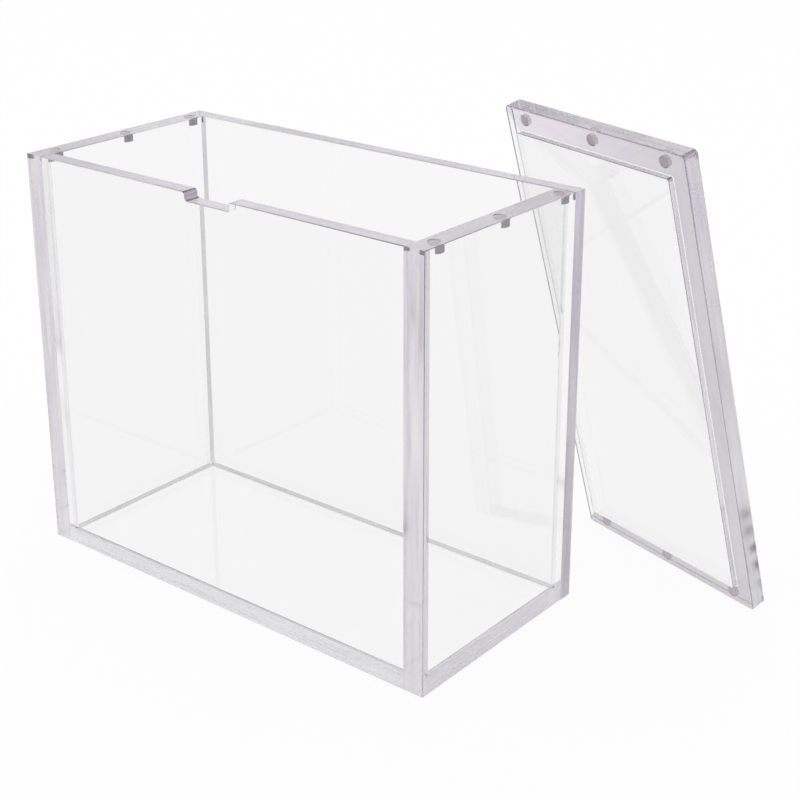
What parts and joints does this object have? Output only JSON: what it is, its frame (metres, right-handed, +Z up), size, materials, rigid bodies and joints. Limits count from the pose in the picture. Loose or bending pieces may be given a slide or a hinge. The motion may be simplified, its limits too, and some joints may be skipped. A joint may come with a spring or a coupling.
{
  "type": "storage box with lid",
  "caption": "Rectangular clear sheet box with bonded walls, a finger notch and magnets in its rim, and a flat lift-off lid leaning against it.",
  "frame": {"origin": "middle of the box's underside, in the plane that the box stands on", "axes": "+X along the box's length to its right end, -Y out of its front wall, +Z up"},
  "size_m": [0.2391, 0.1452, 0.1748],
  "materials": {
    "clear_sheet_base": "clear acrylic sheet, polished",
    "clear_sheet_walls": "clear acrylic sheet, polished faces and edges",
    "clear_sheet_ends": "clear acrylic sheet, polished faces and edges",
    "clear_sheet_lid": "clear acrylic sheet, polished faces and edges",
    "clear_sheet_locating": "clear acrylic sheet, polished faces and edges",
    "box_magnets": "plated metal, satin",
    "lid_magnets": "plated metal, satin"
  },
  "bodies": {
    "box": {"base_panel": "clear_sheet_base", "front_wall": "clear_sheet_walls", "back_wall": "clear_sheet_walls", "left_wall": "clear_sheet_ends", "right_wall": "clear_sheet_ends", "box_magnet_left_front": "box_magnets", "box_magnet_left_middle": "box_magnets", "box_magnet_left_rear": "box_magnets", "box_magnet_right_front": "box_magnets", "box_magnet_right_middle": "box_magnets", "box_magnet_right_rear": "box_magnets"},
    "lid": {"lid_plate": "clear_sheet_lid", "lid_locating_plate": "clear_sheet_locating", "lid_magnet_lower_left": "lid_magnets", "lid_magnet_lower_middle": "lid_magnets", "lid_magnet_lower_right": "lid_magnets", "lid_magnet_upper_left": "lid_magnets", "lid_magnet_upper_middle": "lid_magnets", "lid_magnet_upper_right": "lid_magnets"}
  },
  "joints": [
    {"name": "lid_lift", "type": "slide", "parent": "box", "child": "lid", "axis": [0, 0, 1], "range_m": [0, 0.165]}
  ]
}
